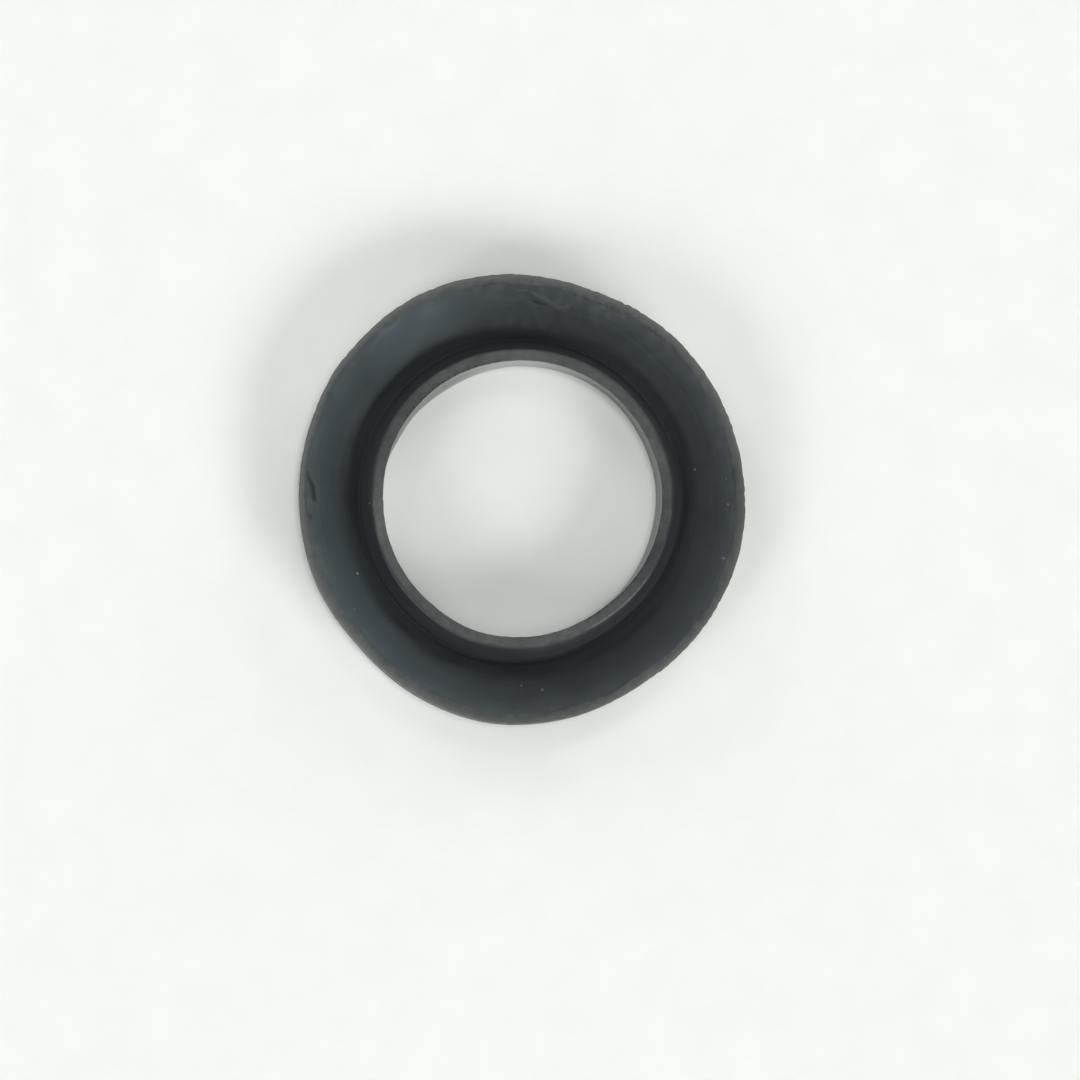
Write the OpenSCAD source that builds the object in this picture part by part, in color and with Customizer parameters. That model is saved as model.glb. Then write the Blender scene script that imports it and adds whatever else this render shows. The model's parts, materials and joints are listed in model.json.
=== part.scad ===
// Fuel cap gasket: one moulded ring of black rubber.
// It sits on the spigot of a fuel cap. A narrow lip stands round the bore, a groove
// runs round the lip, and from the groove a crowned face climbs to a flat rim.
// +Z is up. The origin is on the axis, at the height of the flat underside.

/* [Ring] */
// Outside diameter
outer_d = 52; // [48:0.5:60]
// Bore diameter, which grips the spigot of the cap
bore_d = 32.4; // [28:0.1:35]

/* [Lip] */
// Height of the lip above the underside
lip_h = 5.8; // [5.4:0.1:7]
// Width of the flat top of the lip
lip_w = 0.95; // [0.8:0.05:1.2]
// Radius of the rounded shoulder outside the flat top
shoulder_r = 0.5; // [0.2:0.05:0.8]

/* [Groove] */
// Distance from the bore wall to the deepest point of the groove
groove_offset = 2.75; // [2.6:0.05:3.2]
// Thickness of rubber left under the groove
groove_floor = 2.9; // [1.6:0.1:3]
// Radius of the bottom of the groove
groove_r = 0.15; // [0.1:0.05:0.4]

/* [Rim] */
// Height of the flat rim above the underside
rim_h = 5.2; // [4.4:0.1:6]
// Width of the flat rim
rim_w = 1.05; // [0.6:0.05:1.6]
// Radius of the crown of the face between the groove and the rim
crown_r = 11; // [10:0.5:40]
// Radius of the top outer edge
rim_edge_r = 0.15; // [0.05:0.05:0.4]
// Radius of the bottom outer edge
seat_edge_r = 0.35; // [0.1:0.05:0.8]

/* [Hidden] */
// Facets round the whole ring
$fn = 180;
// Steps along each round stretch of the section
arc_steps = 10;

// Points are [distance from the axis, height] and angles are in degrees
bore_r = bore_d / 2;
outer_r = outer_d / 2;
seat_edge_c = [outer_r - seat_edge_r, seat_edge_r];
rim_edge_c = [outer_r - rim_edge_r, rim_h - rim_edge_r];
rim_corner = [outer_r - rim_w, rim_h];
groove_c = [bore_r + groove_offset, groove_floor + groove_r];
shoulder_c = [bore_r + lip_w, lip_h - shoulder_r];

// Unit vector at an angle
function unit(angle) = [cos(angle), sin(angle)];

// Angle of the direction from point a to point b
function heading(a, b) = atan2(b[1] - a[1], b[0] - a[0]);

// Points along an arc. With first = 1 the arc leaves out its own start, for a
// stretch that begins where the one before it ends.
function arc(centre, radius, from, to, first = 0) = [
    for (i = [first:arc_steps]) centre + radius * unit(from + (to - from) * i / arc_steps)
];

// The crown passes through the rim corner and touches the bottom of the groove, so
// its centre is crown_r from the corner and crown_r + groove_r from groove_c. The
// law of cosines gives the angle at groove_c between those two.
crown_reach = crown_r + groove_r;
corner_gap = norm(rim_corner - groove_c);
corner_angle = acos(
    (corner_gap * corner_gap + crown_reach * crown_reach - crown_r * crown_r)
    / (2 * corner_gap * crown_reach)
);
crown_heading = heading(groove_c, rim_corner) - corner_angle;
crown_c = groove_c + crown_reach * unit(crown_heading);

// The flank is the straight line that has the shoulder on one side and the groove
// on the other. Its normal, seen from the shoulder, has this angle.
flank_angle = heading(shoulder_c, groove_c)
    + acos((shoulder_r + groove_r) / norm(groove_c - shoulder_c));

// Half of the ring's cross-section, from the bore outward along the underside, up
// the outer wall and back over the rim, crown, groove and lip
module section() {
    polygon(concat(
        [[bore_r, 0]],
        arc(seat_edge_c, seat_edge_r, -90, 0),
        arc(rim_edge_c, rim_edge_r, 0, 90),
        arc(crown_c, crown_r, heading(crown_c, rim_corner), crown_heading + 180),
        arc(groove_c, groove_r, crown_heading, flank_angle - 180, first = 1),
        arc(shoulder_c, shoulder_r, flank_angle, 90),
        [[bore_r, lip_h]]
    ));
}

module gasket() {
    color([0.13, 0.14, 0.15]) rotate_extrude() section();
}

gasket();
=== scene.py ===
"""Fuel cap gasket: one moulded ring of black rubber, lying lip up on pale paper.

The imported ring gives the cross-section. gasket_rubber revolves that section again
on a fine grid, and adds what moulding, trimming and handling leave on the rubber:
an outline a little out of round, a ragged land round the rim, a skin line and a
flow mark on the crown, nicks, and fine grain. dust_specks is the dust lying on it.

Lengths are in millimetres and angles in degrees until a mesh is made. Angles are
counter-clockwise from +X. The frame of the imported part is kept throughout.
"""

import json
import math
from dataclasses import dataclass

import bmesh
import bpy
import numpy as np
from mathutils import Matrix, Vector, noise


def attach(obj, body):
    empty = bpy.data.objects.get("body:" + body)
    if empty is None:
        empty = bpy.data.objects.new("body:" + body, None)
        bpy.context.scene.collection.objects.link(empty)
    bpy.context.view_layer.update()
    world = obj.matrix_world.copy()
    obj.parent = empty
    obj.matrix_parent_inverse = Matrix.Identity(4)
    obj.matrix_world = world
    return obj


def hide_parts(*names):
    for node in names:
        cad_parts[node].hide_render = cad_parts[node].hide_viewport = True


MM = 0.001
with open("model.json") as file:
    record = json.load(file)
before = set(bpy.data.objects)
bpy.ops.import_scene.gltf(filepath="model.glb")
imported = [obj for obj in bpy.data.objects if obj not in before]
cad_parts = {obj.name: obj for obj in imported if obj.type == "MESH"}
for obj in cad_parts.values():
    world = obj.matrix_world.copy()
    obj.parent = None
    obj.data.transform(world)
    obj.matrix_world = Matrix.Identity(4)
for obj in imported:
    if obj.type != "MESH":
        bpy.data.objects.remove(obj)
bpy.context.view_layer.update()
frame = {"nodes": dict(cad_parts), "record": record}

# ---------------------------------------------------------------- the section

TRACE_STEP = 0.01       # first, even sampling of the section
EDGE_SOFTENING = 0.045  # rounds the sharp corners of the section by about this much
SAME_POINT = 0.001      # corners closer than this are one corner
HEART = (0.16, 0.26)    # a point of the section from which all of its corners show
ROWS = 138              # samples round the section
COLUMNS = 712           # samples round the ring
TOP_SPACING = 0.11      # wanted distance of the samples on the lip, groove and crown
SHOULDER_SPACING = 0.05  # the same on the lip's shoulder, which carries the thin fin
SHOULDER_DEPTH = 0.3    # how far below the top of the lip that stretch reaches
WALL_SPACING = 0.5      # the same on the bore and on the outer wall
SEAT_SPACING = 1.1      # the same on the underside
BEND_PER_ROW = 0.3      # largest turn of the surface between samples, in radians
LIP_SPAN = 2.5          # the lip's flat top lies within this distance of the bore
GROOVE_SPAN = 6.0       # the bottom of the groove lies within this one, and the rim beyond

ANGLE_STEP = 0.05       # first, even sampling round the ring

# Where the samples round the ring lie closer together: (start, end, fade, share left out)
CLOSE_COLUMNS = (
    (47, 96, 2.0, 0.55),
    (171, 183, 2.0, 0.5),
    (223, 228, 1.0, 0.5),
    (239, 243, 1.0, 0.4),
)


def ring_section(node):
    """Corners of the cross-section as (radius, height), from the foot of the bore outward."""
    points = np.array([vertex.co for vertex in node.data.vertices]) / MM
    corners = np.column_stack([np.hypot(points[:, 0], points[:, 1]), points[:, 2]])
    low, high = corners.min(axis=0), corners.max(axis=0)
    heart = low + np.array(HEART) * (high - low)
    turn = np.arctan2(corners[:, 1] - heart[1], corners[:, 0] - heart[0])
    corners = corners[np.argsort(turn)]
    gap = np.linalg.norm(corners - np.roll(corners, 1, axis=0), axis=1)
    return corners[gap > SAME_POINT]


def evenly(corners, step):
    """Points about one step apart all the way round the closed section."""
    closed = np.vstack([corners, corners[:1]])
    lengths = np.linalg.norm(np.diff(closed, axis=0), axis=1)
    reached = np.concatenate([[0.0], np.cumsum(lengths)])
    along = np.arange(0.0, reached[-1], step)
    return np.column_stack([np.interp(along, reached, closed[:, k]) for k in (0, 1)])


def soften(points, reach, step):
    """The closed line smoothed over a distance of about `reach`."""
    frequency = np.fft.fftfreq(len(points), step)
    keep = np.exp(-2.0 * (math.pi * reach * frequency) ** 2)[:, None]
    return np.real(np.fft.ifft(np.fft.fft(points, axis=0) * keep, axis=0))


def outward(points):
    """Outward unit normals of a closed line that runs counter-clockwise."""
    along = np.roll(points, -1, axis=0) - np.roll(points, 1, axis=0)
    across = np.column_stack([along[:, 1], -along[:, 0]])
    return across / np.linalg.norm(across, axis=1)[:, None]


def share_out(spacing, count):
    """Indices of `count` samples that lie closer together where spacing is small."""
    filled = np.cumsum(1.0 / spacing)
    return np.searchsorted(filled / filled[-1] * count, np.arange(count) + 0.5)


def sampled_section(node):
    """Points and outward normals of the section, ready to revolve."""
    points = soften(evenly(ring_section(node), TRACE_STEP), EDGE_SOFTENING, TRACE_STEP)
    normals = outward(points)
    bend = np.linalg.norm(np.roll(normals, -1, axis=0) - normals, axis=1) / TRACE_STEP
    spacing = np.full(len(points), TOP_SPACING)
    spacing[np.abs(normals[:, 0]) > 0.97] = WALL_SPACING
    spacing[normals[:, 1] < -0.8] = SEAT_SPACING
    below_top = points[:, 1].max() - points[:, 1]
    spacing[(normals[:, 0] > 0.05) & (below_top < SHOULDER_DEPTH)] = SHOULDER_SPACING
    spacing = np.minimum(spacing, BEND_PER_ROW / np.maximum(bend, 0.01))
    chosen = share_out(spacing, ROWS)
    return points[chosen], normals[chosen]


# ------------------------------------------------- shapes to lay over the ring

def smooth_step(low, high, value):
    """0 below low, 1 above high, and a smooth rise between them."""
    share = np.clip((value - low) / (high - low), 0.0, 1.0)
    return share * share * (3.0 - 2.0 * share)


def bell(distance, width):
    """1 at no distance, falling to about a third at one width."""
    return np.exp(-((distance / width) ** 2))


def turn_from(angle, centre):
    """Signed turn from centre to angle, in degrees, from -180 to 180."""
    return (angle - centre + 180.0) % 360.0 - 180.0


def swell(angle, places):
    """The bells of a list of (angle, width, size), added together."""
    return sum(size * bell(turn_from(angle, at), wide) for at, wide, size in places)


def window(angle, start, end, fade=4.0):
    """1 between two angles, with soft ends."""
    half = turn_from(end, start) % 360.0 / 2.0
    away = np.abs(turn_from(angle, start + half))
    return 1.0 - smooth_step(half - fade, half + fade, away)


def ripples(angle, radius, seed, waves, crossing, count=14):
    """Seeded smooth noise of about unit size. It closes on itself round the ring.

    waves gives the fewest and most waves round the ring, and crossing the most
    waves per millimetre along the radius.
    """
    draw = np.random.default_rng(seed)
    total = np.zeros(np.broadcast(angle, radius).shape)
    for _ in range(count):
        around = draw.integers(waves[0], waves[1] + 1)
        along = draw.uniform(-crossing, crossing)
        start = draw.uniform(0.0, 2.0 * math.pi)
        total += np.cos(np.radians(angle) * around + 2.0 * math.pi * along * radius + start)
    return total * math.sqrt(2.0 / count)


def path_profile(angle, radius, path):
    """Distance to a line across the ring's face, and how far along it the nearest point is.

    path holds (angle, radius) points. The line runs smoothly through them.
    """
    knots = np.array(path)
    at = np.linspace(0.0, len(knots) - 1.0, 24 * (len(knots) - 1) + 1)
    whole = np.minimum(at.astype(int), len(knots) - 2)
    part = (at - whole)[:, None]
    before = knots[np.maximum(whole - 1, 0)]
    after = knots[np.minimum(whole + 2, len(knots) - 1)]
    here, there = knots[whole], knots[whole + 1]
    curve = 0.5 * (2.0 * here + (there - before) * part
                   + (2.0 * before - 5.0 * here + 4.0 * there - after) * part ** 2
                   + (3.0 * here - before - 3.0 * there + after) * part ** 3)
    around = np.radians(curve[:, 0])
    curve_xy = np.column_stack([curve[:, 1] * np.cos(around), curve[:, 1] * np.sin(around)])
    turned = np.radians(angle)
    x, y = radius * np.cos(turned), radius * np.sin(turned)
    nearest = np.full(x.shape, 1e9)
    along = np.zeros(x.shape)
    for index, (px, py) in enumerate(curve_xy):
        distance = np.hypot(x - px, y - py)
        closer = distance < nearest
        nearest = np.where(closer, distance, nearest)
        along = np.where(closer, index / (len(curve_xy) - 1), along)
    return nearest, along


# -------------------------------------------------------------- the rubber ring

# Slow swells of the rim and of the bore: (angle, width, outward)
RIM_SWELLS = (
    (71, 15, -0.40),
    (95, 40, 0.18),
    (119, 20, 0.42),
    (147, 9, 0.20),
    (190, 14, -0.14),
    (221, 15, -0.43),
    (264, 17, 0.38),
    (287, 9, 0.12),
    (303, 14, -0.18),
    (348, 15, 0.20),
)
BORE_SWELLS = (
    (4, 20, 0.20),
    (92, 26, -0.08),
    (122, 14, 0.04),
    (182, 14, -0.08),
    (250, 13, 0.16),
    (303, 22, -0.32),
)
BORE_SHIFT = (240, 0.16)    # the bore sits a little off the middle of the rim

# The foot of the bore leans out of its top edge: (angle, width, outward)
FOOT_SWELLS = (
    (50, 22, 0.24),
    (123, 21, -0.48),
    (152, 9, -0.20),
    (345, 26, -0.27),
)

# Nicks in the trimmed outer edge: (angle, width in degrees, depth)
EDGE_NICKS = (
    (178.0, 0.5, 0.12),
    (225.2, 0.6, 0.24),
    (241.2, 0.6, 0.18),
    (62.0, 0.5, 0.08),
)

LAND_RISE = 0.018       # the land round the rim stands this much above the crown beside it
LAND_RAGGED = 0.09      # how far its inner edge wanders
CROWN_WAVES = 0.022     # slow unevenness of the crown
ROUGH_WAVES = 0.014     # finer unevenness of its rougher stretch
SKIN_LINE_DEPTH = 0.012  # of the faint line that runs along the crown on the right
LIP_WAVES = 0.018       # unevenness of the flat top of the lip

# The flow mark, where two streams of rubber met in the mould, as (angle, radius)
FLOW_MARK = (
    (93.1, 23.85), (91.3, 24.02), (89.3, 24.15), (87.5, 24.01), (85.9, 23.67), (84.0, 23.45),
    (81.8, 23.16), (80.0, 22.95), (78.1, 22.89), (76.5, 23.24), (75.4, 23.77),
)
FLOW_HOLLOW = ((87.3, 23.21), (85.2, 23.00), (83.0, 22.88), (80.8, 22.74))
RIDGE_HEIGHT = 0.06
HOLLOW_DEPTH = 0.07     # of the hollow beside the ridge

# The slit at the edge of the land, as (angle, radius), and a pit beside it, as
# (angle, radius, width)
SLIT = ((173.6, 25.05), (175.4, 24.82), (176.6, 24.53), (177.8, 24.33), (179.0, 24.30), (180.8, 24.14))
PIT = (185.5, 24.80, 0.17)
SLIT_DEPTH = 0.14
PIT_DEPTH = 0.05

# Stretches of the crown with a painted sheen, lighter and bluer where they face the lamps: (angle,
# width, strength)
PAINTED_SHEEN = (
    (122, 15, 1.00),
    (160, 26, 0.45),
    (206, 24, 0.85),
    (238, 22, 0.45),
)

# Lighter and darker stretches of the lip's flat top and of the rim's: (angle, width, change)
LIP_TONES = (
    (0, 9, -0.22),
    (18, 7, 0.18),
    (90, 9, 0.36),
    (143, 13, -0.26),
    (165, 9, -0.12),
    (188, 12, 0.38),
    (258, 12, 0.22),
    (287, 8, 0.24),
    (336, 14, -0.48),
)
LIP_TONE = -0.10        # change of the lip's flat top all the way round
RIM_TONES = (
    (2, 11, -0.26),
    (120, 14, 0.10),
    (268, 22, -0.26),
    (334, 14, -0.22),
)

# Where the lip's flat top is wider: (angle, width, size)
LIP_WIDER = (
    (98, 28, 0.26),
    (310, 18, 0.20),
)

# Where the slope outside it is painted the land's grey as painted light, on the sides that face the
# lamps: (angle, width, share)
SHOULDER_PAINTED_LIGHT = (
    (35, 40, 0.55),
    (165, 26, 0.50),
    (240, 14, 0.20),
    (283, 24, 0.55),
)
SHOULDER_REACH = 1.25   # how far outward that painted light fades

# Angles where the thin fin at the outer edge of the lip's flat top starts and ends.
# The fine line outside it starts earlier.
FIN_START, FIN_END = 297, 326
LINE_START = 279
FIN_HEIGHT = 0.03
LINE_DEPTH = 0.04

# The bore's chipped edge: (start, end, fade), and one nick: (angle, width, size)
CHIPPED = (
    (299, 336, 4.0),
    (99, 146, 6.0),
)
BORE_NICK = (180.6, 0.45, 1.2)
CHIP_DEPTH = 0.04

LIGHT_SIDE = 310        # the side that the key lamps stand on


@dataclass
class Surface:
    """The ring before it is marked: where its points are and which way they face."""

    angle: np.ndarray
    radius: np.ndarray
    height: np.ndarray
    normal_r: np.ndarray
    normal_z: np.ndarray


def top_face(surface, section):
    """1 on the lip, groove, crown and rim, and 0 on the walls and the seat."""
    over_groove = surface.height > section["groove_z"] - 0.5
    return smooth_step(0.1, 0.5, surface.normal_z) * over_groove


def outline(surface, section):
    """How far each point moves outward: the ring is out of round, and its edge is nicked."""
    angle, radius, height = surface.angle, surface.radius, surface.height
    rim_share = smooth_step(section["groove_r"], section["corner_r"], radius)
    shift_side, shift = BORE_SHIFT
    bore_out = swell(angle, BORE_SWELLS) + shift * np.cos(np.radians(angle - shift_side))
    low_down = 1.0 - smooth_step(0.0, section["lip_z"], height)
    foot_share = low_down * (1.0 - smooth_step(section["bore_r"], section["groove_r"], radius))
    out = swell(angle, RIM_SWELLS) * rim_share + bore_out * (1.0 - rim_share)
    out = out + swell(angle, FOOT_SWELLS) * foot_share

    # The trimmed edge has small steps and nicks, which fade down the wall
    near_edge = smooth_step(section["corner_r"], section["outer_r"], radius)
    high_up = smooth_step(section["rim_z"] - 2.2, section["rim_z"] - 0.3, height)
    steps = 0.018 * ripples(angle, 0.0, 11, (9, 45), 0.0)
    steps = steps + 0.016 * ripples(angle, 0.0, 12, (60, 170), 0.0)
    return out + near_edge * (steps * (0.2 + 0.8 * high_up) - swell(angle, EDGE_NICKS) * high_up)


def rim_land(surface, section, top):
    """1 on the flat land round the rim, whose inner edge is ragged and torn in one stretch."""
    angle = surface.angle
    ragged = 0.6 * ripples(angle, 0.0, 21, (5, 24), 0.0)
    ragged = ragged + 0.4 * ripples(angle, 0.0, 22, (40, 110), 0.0)
    torn = 0.5 * window(angle, 48, 74, 5.0) * ripples(angle, 0.0, 23, (120, 230), 0.0)
    narrower = 0.36 * window(angle, 132, 186, 10.0)
    edge = section["corner_r"] - 0.02 + narrower + LAND_RAGGED * (ragged + torn)
    return smooth_step(edge - 0.16, edge + 0.14, surface.radius) * top


def lip_land(surface, section, top):
    """1 on the flat top of the lip, and the share of its grey painted on the slope outside it as
    painted light.
    """
    angle, radius = surface.angle, surface.radius
    edge = section["lip_r"] + 0.20 + 0.06 * ripples(angle, 0.0, 31, (4, 30), 0.0)
    edge = edge + swell(angle, LIP_WIDER)
    land = (1.0 - smooth_step(edge - 0.12, edge + 0.18, radius)) * top
    fading = np.clip(1.0 - (radius - edge) / SHOULDER_REACH, 0.0, 1.0) ** 1.5
    shoulder = swell(angle, SHOULDER_PAINTED_LIGHT) * fading * (1.0 - land) * (surface.normal_z > 0.0)
    return land, shoulder


def crown_marks(surface, section, rim, top):
    """Push of the uneven crown, with its rougher stretch and the skin line on the right."""
    angle, radius, groove_r = surface.angle, surface.radius, section["groove_r"]
    crown = smooth_step(groove_r + 0.6, groove_r + 2.0, radius) * (1.0 - rim) * top
    slow = CROWN_WAVES * ripples(angle, radius, 41, (3, 22), 0.16)
    rough = ROUGH_WAVES * window(angle, 38, 96, 14.0) * ripples(angle, radius, 42, (30, 75), 0.45)
    line_r = groove_r + 3.7 + 0.25 * ripples(angle, 0.0, 43, (3, 9), 0.0)
    skin_line = SKIN_LINE_DEPTH * bell(radius - line_r, 0.16) * window(angle, 340, 88, 8.0)
    return crown * (slow + rough - skin_line)


def flow_mark(surface, top):
    """The wavy ridge of the flow mark, and the shallow hollow beside it."""
    distance, along = path_profile(surface.angle, surface.radius, FLOW_MARK)
    width = 0.18 + 0.07 * smooth_step(0.15, 0.4, along)
    strength = smooth_step(0.0, 0.12, along) * (1.0 - 0.7 * smooth_step(0.86, 1.0, along))
    ridge = bell(distance, width) * strength * top
    distance, along = path_profile(surface.angle, surface.radius, FLOW_HOLLOW)
    strength = smooth_step(-0.05, 0.2, along) * (1.0 - 0.8 * smooth_step(0.4, 1.0, along))
    return ridge, bell(distance, 0.19) * strength * top


def slit_and_pit(surface, top):
    """The slit, which opens towards its inner end, and the pit, which is on both faces here."""
    distance, along = path_profile(surface.angle, surface.radius, SLIT)
    slit = bell(distance, 0.14 + 0.05 * along) * smooth_step(-0.25, 0.5, along) * top
    pit_angle, pit_r, pit_width = PIT
    aside = np.radians(turn_from(surface.angle, pit_angle)) * surface.radius
    return slit, bell(np.hypot(surface.radius - pit_r, aside), pit_width)


def lip_fin(surface, section, top):
    """The thin, beaded fin at the outer edge of the lip's flat top, and the line outside it."""
    angle, past_lip = surface.angle, surface.radius - section["lip_r"]
    fin = bell(past_lip - 0.32, 0.065) * window(angle, FIN_START, FIN_END, 3.0) * top
    fin = fin * np.clip(0.75 + 0.25 * ripples(angle, 0.0, 61, (50, 150), 0.0), 0.0, 1.0)
    line = bell(past_lip - 0.47, 0.06) * window(angle, LINE_START, FIN_END, 4.0) * top
    return fin, line


def bore_chips(surface, section):
    """The top edge of the bore, where it is chipped and nicked."""
    angle = surface.angle
    chipped = sum(window(angle, start, end, fade) for start, end, fade in CHIPPED)
    chips = np.clip(0.9 + 0.6 * ripples(angle, 0.0, 51, (60, 170), 0.0), 0.0, 1.5) * chipped
    chips = chips + swell(angle, (BORE_NICK,))
    below_top = surface.height - section["lip_z"]
    return bell(surface.radius - section["bore_r"], 0.18) * bell(below_top, 0.22) * chips


def painted_sheen(surface, section):
    """Painted sheen, which sets in outside the groove, and a little of it near the rim."""
    angle, radius = surface.angle, surface.radius
    start = section["groove_r"] + 0.8 - 0.9 * bell(turn_from(angle, 205), 20)
    near_rim = smooth_step(section["corner_r"] - 2.4, section["corner_r"], radius)
    outer = 0.30 * bell(turn_from(angle, 265), 22) * near_rim
    return swell(angle, PAINTED_SHEEN) * smooth_step(start, start + 2.9, radius) + outer


def valley_dust_and_light(surface, section, lip):
    """Dust lying in the valley, with painted light making it stronger on the right and on the left."""
    angle = surface.angle
    painted_light_sides = np.clip(bell(turn_from(angle, 18), 48) + bell(turn_from(angle, 166), 34), 0.0, 1.0)
    valley = bell(surface.radius - (section["groove_r"] + 0.2), 1.35)
    return valley * (0.62 + 0.38 * painted_light_sides) * (1.0 - lip) * (surface.normal_z > 0.0)


def groove_painted_shade(surface, section):
    """Painted shade at the bottom of the groove, wider where the lip's slope faces the light."""
    past_groove = surface.radius - section["groove_r"]
    lit_slope = np.clip(np.cos(np.radians(surface.angle - LIGHT_SIDE)), 0.0, 1.0)
    soft_side = bell(turn_from(surface.angle, 214), 30)
    width = np.where(past_groove < 0.0, 0.15 + 0.32 * lit_slope, 0.14) + 0.14 * soft_side
    return (0.72 - 0.10 * soft_side) * bell(past_groove, width) * (surface.normal_z > 0.0)


def polish(surface, section):
    """The stretch of the bore wall that shines, fading out below its top edge."""
    near_top = smooth_step(-1.0, -0.2, surface.height - section["lip_z"])
    return bell(turn_from(surface.angle, 100), 34) * (1.0 - near_top)


def ring_marks(surface, section):
    """How far each point moves along its normal, and the masks of its finish."""
    angle, radius = surface.angle, surface.radius
    top = top_face(surface, section)
    rim = rim_land(surface, section, top)
    lip, shoulder = lip_land(surface, section, top)
    ridge, hollow = flow_mark(surface, top)
    slit, pit = slit_and_pit(surface, top)
    fin, line = lip_fin(surface, section, top)
    chips = bore_chips(surface, section)

    push = LAND_RISE * rim + LIP_WAVES * lip * ripples(angle, radius, 32, (6, 60), 0.5)
    push = push + crown_marks(surface, section, rim, top)
    push = push + RIDGE_HEIGHT * ridge - HOLLOW_DEPTH * hollow
    push = push - SLIT_DEPTH * slit - PIT_DEPTH * pit * top
    push = push + FIN_HEIGHT * fin - LINE_DEPTH * line - CHIP_DEPTH * chips

    lip_tone = LIP_TONE + swell(angle, LIP_TONES)
    inward = smooth_step(0.6, 0.95, -surface.normal_r)
    edge = smooth_step(section["corner_r"] + 0.15, section["outer_r"] - 0.05, radius)
    # Painted shade: the slit, the pit, the hollow beside the flow mark, the line outside the fin and
    # the bottom of the groove are coloured near black.
    painted_shade = 0.75 * slit + 0.6 * pit + 0.8 * hollow + 0.5 * line + groove_painted_shade(surface, section)
    masks = {
        # The flow mark's ridge takes a share of the land's grey and of the painted sheen: a painted
        # highlight.
        "land": np.clip(rim + lip + shoulder + 0.26 * ridge, 0.0, 1.0),
        "edge": edge * top,
        "painted_sheen": np.clip(painted_sheen(surface, section) + 0.2 * ridge, 0.0, 1.0),
        "bore": inward * (radius < section["bore_r"] + 0.3),
        "polish": polish(surface, section),
        "valley": valley_dust_and_light(surface, section, lip),
        "painted_shade": np.clip(painted_shade, 0.0, 1.0),
        "fin": fin,
        "tone": 1.0 + lip_tone * lip + swell(angle, RIM_TONES) * rim,
        "chip": np.clip(chips, 0.0, 1.0),
    }
    return push, masks


def section_facts(points, normals, bore_r):
    """Named places on the section, measured from its own shape."""
    past_bore = points[:, 0] - bore_r
    flat_top = normals[:, 1] > 0.9995
    lip = flat_top & (past_bore < LIP_SPAN)
    rim = flat_top & (past_bore > GROOVE_SPAN)
    top = (normals[:, 1] > 0.2) & (past_bore < GROOVE_SPAN)
    groove = np.argmin(np.where(top, points[:, 1], np.inf))
    return {
        "bore_r": bore_r,
        "lip_r": points[lip, 0].max(),
        "lip_z": points[:, 1].max(),
        "groove_r": points[groove, 0],
        "groove_z": points[groove, 1],
        "corner_r": points[rim, 0].min(),
        "rim_z": points[rim, 1].max(),
        "outer_r": points[:, 0].max(),
    }


def column_angles():
    """Angles of the columns, closer together at the flow mark, the slit and the nicks."""
    angle = np.arange(0.0, 360.0, ANGLE_STEP)
    closer = sum(share * window(angle, start, end, fade) for start, end, fade, share in CLOSE_COLUMNS)
    return angle[share_out(1.0 - closer, COLUMNS)]


def add_float(mesh, name, values):
    """A value for every vertex, which the material reads by name."""
    attribute = mesh.attributes.new(name, "FLOAT", "POINT")
    attribute.data.foreach_set("value", values.astype(np.float32).ravel())


def mesh_object(name, vertices, faces, material):
    """A smooth-shaded mesh of vertices given in millimetres."""
    mesh = bpy.data.meshes.new(name)
    mesh.from_pydata((vertices * MM).tolist(), [], faces.tolist())
    mesh.polygons.foreach_set("use_smooth", [True] * len(mesh.polygons))
    mesh.materials.append(material)
    mesh.update()
    piece = bpy.data.objects.new(name, mesh)
    bpy.context.scene.collection.objects.link(piece)
    return piece


def grid_faces(columns, rows):
    """Faces of a grid that closes on itself both ways."""
    column, row = np.meshgrid(np.arange(columns), np.arange(rows), indexing="ij")
    column_after, row_after = (column + 1) % columns, (row + 1) % rows
    corners = [column * rows + row, column_after * rows + row,
               column_after * rows + row_after, column * rows + row_after]
    return np.stack(corners, axis=-1).reshape(-1, 4)


def rubber_ring(points, normals, facts, material):
    """The ring, revolved from its section and marked as the real one is."""
    surface = Surface(column_angles()[:, None], points[None, :, 0], points[None, :, 1],
                      normals[None, :, 0], normals[None, :, 1])
    push, masks = ring_marks(surface, facts)
    final_r = surface.radius + push * surface.normal_r + outline(surface, facts)
    final_z = np.maximum(surface.height + push * surface.normal_z, 0.0)
    turned = np.radians(surface.angle)
    x, y = final_r * np.cos(turned), final_r * np.sin(turned)
    vertices = np.stack([x, y, final_z], axis=-1).reshape(-1, 3)
    ring = mesh_object("gasket_rubber", vertices, grid_faces(len(turned), len(points)), material)
    for name, values in masks.items():
        add_float(ring.data, name, np.broadcast_to(values, x.shape))
    return ring


# ------------------------------------------------------------------------ dust

# Specks that stand out: (angle, radius, width)
DUST = (
    (182.6, 17.7, 0.34), (205.0, 21.1, 0.30), (214.0, 23.5, 0.28), (241.0, 18.6, 0.22),
    (265.8, 18.1, 0.26), (269.9, 21.9, 0.32), (276.0, 22.5, 0.40), (9.8, 20.6, 0.28),
    (5.6, 24.0, 0.26), (358.4, 24.1, 0.26), (343.4, 24.5, 0.42),
)
SMALL_SPECKS = 46
SMALL_WIDTHS = (0.04, 0.10)


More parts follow.
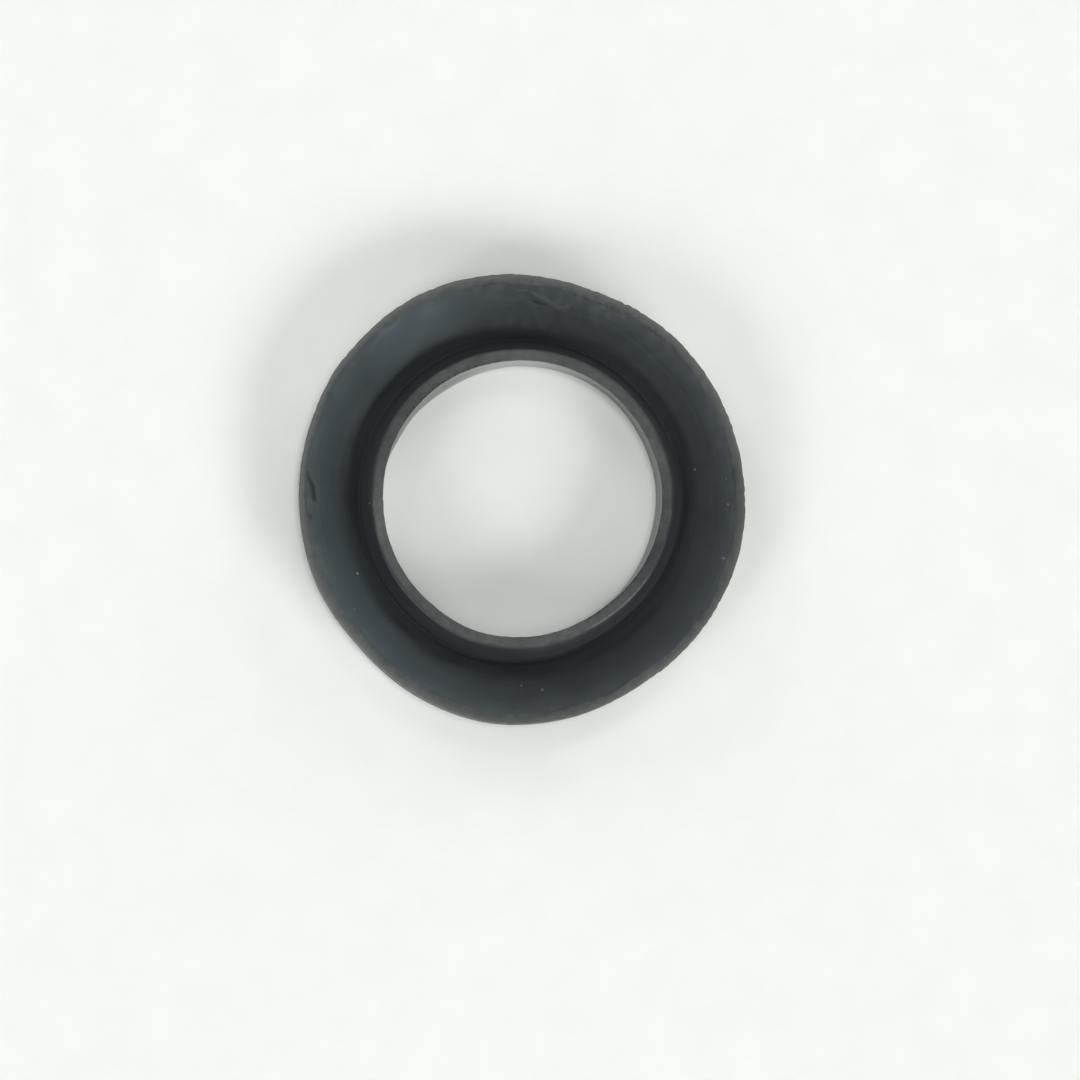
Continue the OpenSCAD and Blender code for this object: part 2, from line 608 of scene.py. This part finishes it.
def dust(points, normals, facts, material):
    """Grains of dust lying on the top of the ring."""
    draw = np.random.default_rng(5)
    top = (normals[:, 1] > 0.3) & (points[:, 1] > facts["groove_z"] - 0.2)
    order = np.argsort(points[top, 0])
    radii, heights = points[top, 0][order], points[top, 1][order]
    spots = list(DUST)
    for _ in range(SMALL_SPECKS):
        place = draw.uniform(0.0, 360.0), draw.uniform(facts["bore_r"] + 0.3, facts["outer_r"] - 0.4)
        spots.append((*place, draw.uniform(*SMALL_WIDTHS)))
    grains = bmesh.new()
    for angle, radius, size in spots:
        turned = math.radians(angle)
        height = np.interp(radius, radii, heights) + 0.09 * size
        centre = Vector((radius * math.cos(turned), radius * math.sin(turned), height))
        made = bmesh.ops.create_icosphere(grains, subdivisions=2, radius=size / 2.0)
        stretch = Vector((draw.uniform(0.7, 1.4), draw.uniform(0.7, 1.2), draw.uniform(0.25, 0.4)))
        for vertex in made["verts"]:
            lumps = 1.0 + 0.5 * noise.noise(vertex.co * (2.2 / size) + centre * 7.0)
            vertex.co = (Vector(a * b for a, b in zip(vertex.co, stretch)) * lumps + centre) * MM
    mesh = bpy.data.meshes.new("dust_specks")
    grains.to_mesh(mesh)
    grains.free()
    mesh.materials.append(material)
    piece = bpy.data.objects.new("dust_specks", mesh)
    bpy.context.scene.collection.objects.link(piece)
    return piece


# ------------------------------------------------------------------- materials

class Nodes:
    """Short calls that add and join nodes in one material."""

    def __init__(self, tree):
        self.tree = tree

    def add(self, kind, inputs=None, **settings):
        """A node with its settings made and its inputs set or linked."""
        made = self.tree.nodes.new(kind)
        for name, value in settings.items():
            setattr(made, name, value)
        for name, value in (inputs or {}).items():
            if isinstance(value, bpy.types.NodeSocket):
                self.tree.links.new(value, made.inputs[name])
            else:
                made.inputs[name].default_value = value
        return made

    def mask(self, name):
        """One of the masks that rubber_ring stored on the mesh."""
        return self.add("ShaderNodeAttribute", attribute_name=name).outputs["Fac"]

    def millimetres(self):
        """The place on the object, in millimetres."""
        place = self.add("ShaderNodeTexCoord").outputs["Object"]
        return self.add("ShaderNodeVectorMath", {0: place, "Scale": 1.0 / MM},
                        operation="SCALE").outputs["Vector"]

    def noise(self, place, per_mm, detail=3.0, rough=0.5):
        """Noise from 0 to 1 with about per_mm cells to the millimetre."""
        return self.add("ShaderNodeTexNoise", {"Vector": place, "Scale": per_mm, "Detail": detail,
                                               "Roughness": rough}).outputs["Fac"]

    def spread(self, value, low, high, to_low=0.0, to_high=1.0):
        """Maps low..high to to_low..to_high and clamps it there."""
        return self.add("ShaderNodeMapRange", {"Value": value, "From Min": low, "From Max": high,
                                               "To Min": to_low, "To Max": to_high}).outputs["Result"]

    def mix(self, share, first, second):
        """One colour turning into another."""
        return self.add("ShaderNodeMix", {0: share, 6: first, 7: second},
                        data_type="RGBA").outputs[2]

    def blend(self, share, first, second):
        """One number turning into another."""
        return self.add("ShaderNodeMix", {0: share, 2: first, 3: second},
                        data_type="FLOAT").outputs[0]

    def join(self, kind, first, second):
        """Two numbers joined by a kind of sum, such as ADD."""
        return self.add("ShaderNodeMath", {0: first, 1: second}, operation=kind).outputs[0]


def new_material(name):
    """A material with one Principled shader, and its node helper."""
    material = bpy.data.materials.new(name)
    material.use_nodes = True
    nodes = Nodes(material.node_tree)
    return material, nodes, material.node_tree.nodes["Principled BSDF"]


# Base colours of the rubber: the moulded face and its painted sheen, the valley's dust and
# painted light, the trimmed lands, the lighter outer edge, the fin's painted highlight, the bore
# and the painted shade
FACE_DARK = (0.0078, 0.0098, 0.0110, 1.0)
FACE_LIGHT = (0.0110, 0.0138, 0.0152, 1.0)
FACE_PAINTED_SHEEN = (0.0305, 0.0430, 0.0490, 1.0)
VALLEY_DUST_AND_LIGHT = (0.026, 0.0300, 0.0325, 1.0)
LAND_GREY = (0.063, 0.0695, 0.0645, 1.0)
LAND_BROWN = (0.048, 0.0505, 0.0465, 1.0)
EDGE_GREY = (0.094, 0.103, 0.094, 1.0)
FIN_HIGHLIGHT_GREY = (0.145, 0.155, 0.150, 1.0)
BORE_BLACK = (0.020, 0.022, 0.022, 1.0)
SHADE_BLACK = (0.005, 0.006, 0.007, 1.0)
SHEEN_TINT = (0.84, 0.955, 1.0, 1.0)    # the rubber's reflections are a little blue

DUST_DARK = (0.050, 0.056, 0.057, 1.0)
DUST_LIGHT = (0.125, 0.130, 0.125, 1.0)
PAPER_DARK = (0.858, 0.894, 0.852, 1.0)
PAPER_LIGHT = (0.880, 0.917, 0.876, 1.0)


def rubber_colour(nodes, place, mottle):
    """The rubber's base colour, from the masks that ring_marks made."""
    cloudy = nodes.spread(nodes.noise(place, 0.22, 3.0, 0.55), 0.35, 0.65)
    face = nodes.mix(cloudy, FACE_DARK, FACE_LIGHT)
    # The valley's lighter colour is dust, with painted light where it is stronger on the right and on
    # the left.
    face = nodes.mix(nodes.mask("valley"), face, VALLEY_DUST_AND_LIGHT)
    # Painted sheen: the crown lighter and bluer on the stretches that face the lamps.
    face = nodes.mix(nodes.mask("painted_sheen"), face, FACE_PAINTED_SHEEN)
    trimmed = nodes.mix(mottle, LAND_GREY, LAND_BROWN)
    trimmed = nodes.mix(nodes.mask("edge"), trimmed, EDGE_GREY)
    trimmed = nodes.add("ShaderNodeVectorMath", {0: trimmed, "Scale": nodes.mask("tone")},
                        operation="SCALE").outputs["Vector"]
    colour = nodes.mix(nodes.mask("land"), face, trimmed)
    colour = nodes.mix(nodes.mask("bore"), colour, BORE_BLACK)
    # Painted shade, near black, in the slit, the pit, the hollows and the groove.
    colour = nodes.mix(nodes.mask("painted_shade"), colour, SHADE_BLACK)
    # Painted shade in the chips along the top edge of the bore: beads of near black.
    beads = nodes.spread(nodes.noise(place, 2.6, 1.0, 0.5), 0.42, 0.52, 0.25, 1.0)
    colour = nodes.mix(nodes.join("MULTIPLY", nodes.mask("chip"), beads), colour, SHADE_BLACK)
    # The fin's lighter grey is a painted highlight on the side that faces the key lamps.
    return nodes.mix(nodes.mask("fin"), colour, FIN_HIGHLIGHT_GREY)


def rubber_roughness(nodes, mottle, grain):
    """Satin where the mould shaped it, smoother in the bore, and matt where it was trimmed."""
    satin = nodes.spread(mottle, 0.0, 1.0, 0.44, 0.54)
    matt = nodes.spread(mottle, 0.0, 1.0, 0.58, 0.72)
    roughness = nodes.blend(nodes.mask("land"), satin, matt)
    shine = nodes.join("MULTIPLY", nodes.mask("polish"), 0.18)
    smooth = nodes.join("SUBTRACT", nodes.spread(grain, 0.3, 0.7, 0.24, 0.32), shine)
    roughness = nodes.blend(nodes.mask("bore"), roughness, smooth)
    roughness = nodes.blend(nodes.mask("chip"), roughness, 0.8)
    return nodes.blend(nodes.mask("painted_shade"), roughness, 0.95)


def bore_coat(nodes):
    """The extra shine of the polished stretch of the bore, broken by the chips."""
    polished = nodes.join("MULTIPLY", nodes.mask("bore"), nodes.mask("polish"))
    whole = nodes.join("SUBTRACT", 1.0, nodes.mask("chip"))
    return nodes.join("MULTIPLY", polished, nodes.join("MULTIPLY", whole, 0.35))


def rubber_bump(nodes, place, grain):
    """Fine grain: strongest on the trimmed lands and almost none in the bore."""
    fine = nodes.join("ADD", nodes.noise(place, 22.0, 3.0, 0.6), grain)
    strength = nodes.blend(nodes.mask("land"), 0.25, 0.7)
    strength = nodes.blend(nodes.mask("bore"), strength, 0.06)
    return nodes.add("ShaderNodeBump", {"Strength": strength, "Distance": 0.012 * MM,
                                        "Height": fine}).outputs["Normal"]


def rubber_material():
    """Black rubber, worn and dusty, with painted shade, sheen and highlights in its colour."""
    material, nodes, shader = new_material("black_rubber")
    place = nodes.millimetres()
    mottle = nodes.spread(nodes.noise(place, 1.1, 4.0, 0.6), 0.35, 0.65)
    grain = nodes.noise(place, 9.0, 5.0, 0.65)
    link = nodes.tree.links.new
    link(rubber_colour(nodes, place, mottle), shader.inputs["Base Color"])
    link(rubber_roughness(nodes, mottle, grain), shader.inputs["Roughness"])
    link(bore_coat(nodes), shader.inputs["Coat Weight"])
    link(rubber_bump(nodes, place, grain), shader.inputs["Normal"])
    shader.inputs["Specular IOR Level"].default_value = 0.5
    shader.inputs["Specular Tint"].default_value = SHEEN_TINT
    return material


def dust_material():
    """Pale grey dust."""
    material, nodes, shader = new_material("grey_dust")
    place = nodes.millimetres()
    tint = nodes.spread(nodes.noise(place, 0.8), 0.35, 0.65)
    colour = nodes.mix(tint, DUST_DARK, DUST_LIGHT)
    nodes.tree.links.new(colour, shader.inputs["Base Color"])
    shader.inputs["Roughness"].default_value = 0.9
    return material


def paper_material():
    """Pale matt paper."""
    material, nodes, shader = new_material("pale_paper")
    place = nodes.millimetres()
    fibres = nodes.spread(nodes.noise(place, 0.16, 4.0, 0.6), 0.3, 0.7)
    colour = nodes.mix(fibres, PAPER_DARK, PAPER_LIGHT)
    nodes.tree.links.new(colour, shader.inputs["Base Color"])
    shader.inputs["Roughness"].default_value = 1.0
    shader.inputs["Specular IOR Level"].default_value = 0.0
    return material


# ---------------------------------------------------------------- the studio

FLOOR_REACH = 3000.0
FLOOR_SIDES = 96

# Soft lamps: (name, azimuth, elevation, width of the lamp as an angle, and its share of
# the light on the paper)
LAMPS = (
    ("key_lamp_near", 305, 23, 18, 0.105),
    ("key_lamp_far", 320, 24, 18, 0.150),
    ("front_lamp", 245, 18, 24, 0.050),
    ("side_lamp", 219, 25, 22, 0.130),
    ("right_fill", 50, 16, 30, 0.070),
    ("back_fill", 129, 16, 30, 0.070),
    ("high_left", 150, 53, 26, 0.060),
    ("high_right", 70, 54, 20, 0.062),
    ("high_front", 284, 77, 14, 0.069),
    ("top_lamp", 21, 87, 12, 0.250),
)
HORIZON_GLOW = 0.70     # brightness of the sky at the horizon
GLOW_FULL = 0.35        # the glow is full up to this share of its height
ZENITH_GLOW = 0.03      # brightness of the rest of the sky
GLOW_TOP = 12           # elevation at which the glow has gone
BACKDROP = (0.91, 0.95, 0.905, 1.0)     # what the camera sees behind the paper

CAMERA_DISTANCE = 450.0
CAMERA_SIDE = 229       # the side that the camera stands to, as an angle round the ring
CAMERA_LEAN = 6.0       # how far it leans from straight above
CAMERA_AIM = (2.43, -4.57)              # the point of the floor in the middle of the picture
CAMERA_LENS = 127.5
CAMERA_SENSOR = 36.0


def paper_floor(material):
    """A wide disc of paper under the ring."""
    around = np.linspace(0.0, 2.0 * math.pi, FLOOR_SIDES, endpoint=False)
    rim = FLOOR_REACH * np.column_stack([np.cos(around), np.sin(around), np.zeros(FLOOR_SIDES)])
    vertices = np.vstack([[[0.0, 0.0, 0.0]], rim])
    index = np.arange(FLOOR_SIDES)
    faces = np.column_stack([np.zeros(FLOOR_SIDES, int), index + 1, (index + 1) % FLOOR_SIDES + 1])
    floor = mesh_object("paper_floor", vertices, faces, material)


def toward(azimuth, elevation):
    """Unit vector to a place in the sky."""
    a, e = math.radians(azimuth), math.radians(elevation)
    return Vector((math.cos(a) * math.cos(e), math.sin(a) * math.cos(e), math.sin(e)))


def looking_from(direction, up):
    """Rotation of a camera or lamp that looks back along direction, with up upward."""
    back = direction.normalized()
    side = up.cross(back).normalized()
    return Matrix((side, back.cross(side), back)).transposed()


def lamps():
    """Wide, distant lamps, so that the paper is evenly lit."""
    for name, azimuth, elevation, width, share in LAMPS:
        light = bpy.data.lights.new(name, "SUN")
        light.angle = math.radians(width)
        light.energy = math.pi * share / math.sin(math.radians(elevation))
        lamp = bpy.data.objects.new(name, light)
        lamp.matrix_world = looking_from(toward(azimuth, elevation), Vector((0.0, 0.0, 1.0))).to_4x4()
        bpy.context.scene.collection.objects.link(lamp)


def sky():
    """A pale band round the horizon under a dim sky, and a plain backdrop for the camera."""
    world = bpy.data.worlds.new("studio_sky")
    world.use_nodes = True
    nodes = Nodes(world.node_tree)
    direction = nodes.add("ShaderNodeTexCoord").outputs["Generated"]
    height = nodes.add("ShaderNodeSeparateXYZ", {0: direction}).outputs["Z"]
    top = math.sin(math.radians(GLOW_TOP))
    glow = nodes.spread(height, GLOW_FULL * top, top, HORIZON_GLOW, ZENITH_GLOW)
    seen = nodes.add("ShaderNodeLightPath").outputs["Is Camera Ray"]
    background = world.node_tree.nodes["Background"]
    nodes.tree.links.new(nodes.mix(seen, (1.0, 1.0, 1.0, 1.0), BACKDROP), background.inputs["Color"])
    nodes.tree.links.new(nodes.blend(seen, glow, 1.0), background.inputs["Strength"])
    bpy.context.scene.world = world


def camera():
    """Almost straight above, with +Y upward in the picture."""
    data = bpy.data.cameras.new("camera")
    data.lens, data.sensor_width = CAMERA_LENS, CAMERA_SENSOR
    data.clip_start, data.clip_end = 0.01, 10.0
    direction = toward(CAMERA_SIDE, 90.0 - CAMERA_LEAN)
    aim = Vector((*CAMERA_AIM, 0.0)) * MM
    eye = bpy.data.objects.new("camera", data)
    turn = looking_from(direction, Vector((0.0, 1.0, 0.0))).to_4x4()
    eye.matrix_world = Matrix.Translation(aim + direction * CAMERA_DISTANCE * MM) @ turn
    bpy.context.scene.collection.objects.link(eye)
    bpy.context.scene.camera = eye


# ------------------------------------------------------------------- the scene

def main():
    """The ring, the dust on it, the paper under it, the light and the camera."""
    bore = next(mount for mount in frame["record"]["mounts"] if mount["name"] == "bore")
    points, normals = sampled_section(frame["nodes"]["gasket"])
    facts = section_facts(points, normals, bore["dims"]["r_mm"])

    ring = rubber_ring(points, normals, facts, rubber_material())
    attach(ring, "root")
    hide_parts("gasket")

    specks = dust(points, normals, facts, dust_material())
    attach(specks, "root")

    paper_floor(paper_material())
    lamps()
    sky()
    camera()
    bpy.context.scene.view_settings.view_transform = "Standard"


main()
